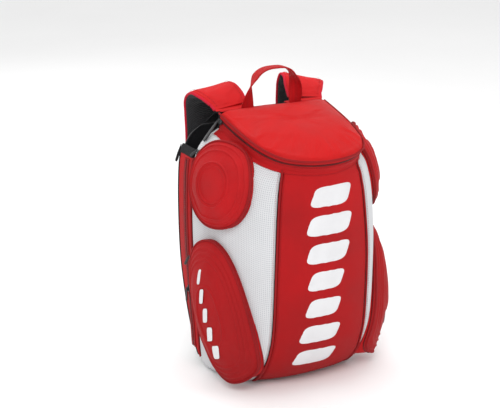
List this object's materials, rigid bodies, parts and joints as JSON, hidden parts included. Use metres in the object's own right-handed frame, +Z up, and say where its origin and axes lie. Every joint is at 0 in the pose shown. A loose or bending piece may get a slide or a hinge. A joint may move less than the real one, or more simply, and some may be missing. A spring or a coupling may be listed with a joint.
{
  "type": "racket backpack",
  "caption": "Backpack with a zipped sloping lid, a separate racket compartment behind it, moulded side pockets, padded shoulder straps and a haul handle.",
  "frame": {"origin": "on the floor under the middle of the bounding box, bag standing upright", "axes": "+Z up, -Y is the front panel, +Y is the wearer's back, +X is the right as seen from the front"},
  "size_m": [0.3782, 0.3121, 0.5531],
  "materials": {
    "white_mesh": "perforated woven mesh",
    "red_fabric": "coated woven polyester",
    "lid_fabric": "coated woven polyester, slight sheen",
    "piping": "woven piping",
    "dark_red_fabric": "woven polyester",
    "zip_tape": "zip tape and coil",
    "black_lining": "woven lining",
    "spacer_mesh": "air mesh over foam",
    "red_webbing": "webbing",
    "strap_fabric": "woven polyester over foam",
    "black_webbing": "webbing",
    "moulded_red": "moulded foam-backed fabric",
    "black_plastic": "satin moulded plastic"
  },
  "bodies": {
    "bag": {"front_panel": "red_fabric", "side_panel_left": "white_mesh", "side_panel_right": "white_mesh", "front_piping_left": "piping", "front_piping_right": "piping", "base_panel": "black_lining", "divider_panel": "black_lining", "back_panel": "black_lining", "racket_gusset_left": "dark_red_fabric", "racket_gusset_right": "dark_red_fabric", "racket_hem_left": "zip_tape", "top_yoke": "black_lining", "lower_band": "red_fabric", "lid_zip_tape": "zip_tape", "strap_anchor_left": "black_webbing", "strap_anchor_right": "black_webbing", "back_pad_left": "spacer_mesh", "back_pad_right": "spacer_mesh", "lumbar_pad": "spacer_mesh", "racket_top_slider": "black_plastic", "pocket_rim_upper_left": "red_fabric", "pocket_rim_upper_right": "red_fabric", "pocket_rim_lower_left": "red_fabric", "pocket_rim_lower_right": "red_fabric"},
    "lid": {"lid_panel": "lid_fabric", "lid_piping": "piping", "lid_band": "red_fabric"},
    "lid_slider": {"lid_zip_slider": "black_plastic"},
    "lid_pull": {"lid_zip_pull": "black_plastic"},
    "handle": {"haul_handle": "red_webbing"},
    "pocket_upper_left": {"pocket_cover_upper_left": "moulded_red", "pocket_slider_upper_left": "black_plastic"},
    "pull_upper_left": {"pocket_pull_upper_left": "black_plastic"},
    "pocket_upper_right": {"pocket_cover_upper_right": "moulded_red", "pocket_slider_upper_right": "black_plastic"},
    "pull_upper_right": {"pocket_pull_upper_right": "black_plastic"},
    "pocket_lower_left": {"pocket_cover_lower_left": "moulded_red", "pocket_slider_lower_left": "black_plastic"},
    "pull_lower_left": {"pocket_pull_lower_left": "black_plastic"},
    "pocket_lower_right": {"pocket_cover_lower_right": "moulded_red", "pocket_slider_lower_right": "black_plastic"},
    "pull_lower_right": {"pocket_pull_lower_right": "black_plastic"},
    "strap_left": {"shoulder_strap_left": "strap_fabric", "ladder_lock_left": "black_plastic", "strap_webbing_left": "black_webbing"},
    "tail_left": {"strap_tail_left": "black_webbing"},
    "strap_right": {"shoulder_strap_right": "strap_fabric", "ladder_lock_right": "black_plastic", "strap_webbing_right": "black_webbing"},
    "tail_right": {"strap_tail_right": "black_webbing"},
    "racket_slider": {"racket_zip_slider": "black_plastic"},
    "racket_pull": {"racket_zip_pull": "black_plastic"},
    "top_pull": {"racket_top_pull": "black_plastic"}
  },
  "joints": [
    {"name": "lid_hinge", "type": "hinge", "parent": "bag", "child": "lid", "pos_m": [0, 0.0578, 0.48], "axis": [-1, 0, 0], "range_deg": [0, 45]},
    {"name": "lid_zip_slide", "type": "slide", "parent": "bag", "child": "lid_slider", "axis": [0, -0.9744, -0.225], "range_m": [0, 0.008]},
    {"name": "lid_pull_swing", "type": "hinge", "parent": "lid_slider", "child": "lid_pull", "pos_m": [-0.1155, 0.0485, 0.465], "axis": [0, 1, 0], "range_deg": [0, 60]},
    {"name": "handle_fold", "type": "hinge", "parent": "bag", "child": "handle", "pos_m": [0, 0.0625, 0.48], "axis": [-1, 0, 0], "range_deg": [0, 20]},
    {"name": "pocket_upper_left_hinge", "type": "hinge", "parent": "bag", "child": "pocket_upper_left", "pos_m": [-0.16198, 0.05663, 0.372], "axis": [-0.2183, -0.0544, -0.9744], "range_deg": [0, 22]},
    {"name": "pull_upper_left_swing", "type": "hinge", "parent": "pocket_upper_left", "child": "pull_upper_left", "pos_m": [-0.15366, 0.0514, 0.41841], "axis": [0.011, 0.667, 0.745], "range_deg": [0, 60]},
    {"name": "pocket_upper_right_hinge", "type": "hinge", "parent": "bag", "child": "pocket_upper_right", "pos_m": [0.16198, 0.05663, 0.372], "axis": [-0.2183, 0.0544, 0.9744], "range_deg": [0, 22]},
    {"name": "pull_upper_right_swing", "type": "hinge", "parent": "pocket_upper_right", "child": "pull_upper_right", "pos_m": [0.15366, 0.0514, 0.41841], "axis": [0.011, -0.667, -0.745], "range_deg": [0, 60]},
    {"name": "pocket_lower_left_hinge", "type": "hinge", "parent": "bag", "child": "pocket_lower_left", "pos_m": [-0.16895, 0.02861, 0.12095], "axis": [0.0901, -0.3303, -0.9395], "range_deg": [0, 50]},
    {"name": "pull_lower_left_swing", "type": "hinge", "parent": "pocket_lower_left", "child": "pull_lower_left", "pos_m": [-0.17778, 0.04924, 0.22318], "axis": [-0.2627, 0.8358, 0.4821], "range_deg": [0, 60]},
    {"name": "pocket_lower_right_hinge", "type": "hinge", "parent": "bag", "child": "pocket_lower_right", "pos_m": [0.16895, 0.02861, 0.12095], "axis": [0.0901, 0.3303, 0.9395], "range_deg": [0, 50]},
    {"name": "pull_lower_right_swing", "type": "hinge", "parent": "pocket_lower_right", "child": "pull_lower_right", "pos_m": [0.17778, 0.04924, 0.22318], "axis": [-0.2627, -0.8358, -0.4821], "range_deg": [0, 60]},
    {"name": "strap_left_swing", "type": "hinge", "parent": "bag", "child": "strap_left", "pos_m": [-0.076, 0.0735, 0.4825], "axis": [1, 0, 0], "range_deg": [0, 15], "deforming": ["strap_webbing_left"]},
    {"name": "tail_left_swing", "type": "hinge", "parent": "strap_left", "child": "tail_left", "pos_m": [-0.117, 0.1449, 0.172], "axis": [1, 0, 0], "range_deg": [0, 40]},
    {"name": "strap_right_swing", "type": "hinge", "parent": "bag", "child": "strap_right", "pos_m": [0.076, 0.0735, 0.4825], "axis": [1, 0, 0], "range_deg": [0, 15], "deforming": ["strap_webbing_right"]},
    {"name": "tail_right_swing", "type": "hinge", "parent": "strap_right", "child": "tail_right", "pos_m": [0.117, 0.1449, 0.172], "axis": [1, 0, 0], "range_deg": [0, 40]},
    {"name": "racket_zip_slide", "type": "slide", "parent": "bag", "child": "racket_slider", "axis": [-0.045, 0, 0.999], "range_m": [0, 0.06]},
    {"name": "racket_pull_swing", "type": "hinge", "parent": "racket_slider", "child": "racket_pull", "pos_m": [-0.1659, 0.0835, 0.15], "axis": [0, 1, 0], "range_deg": [0, 60]},
    {"name": "top_pull_swing", "type": "hinge", "parent": "bag", "child": "top_pull", "pos_m": [-0.152, 0.1249, 0.409], "axis": [1, 0, 0], "range_deg": [0, 60]}
  ]
}
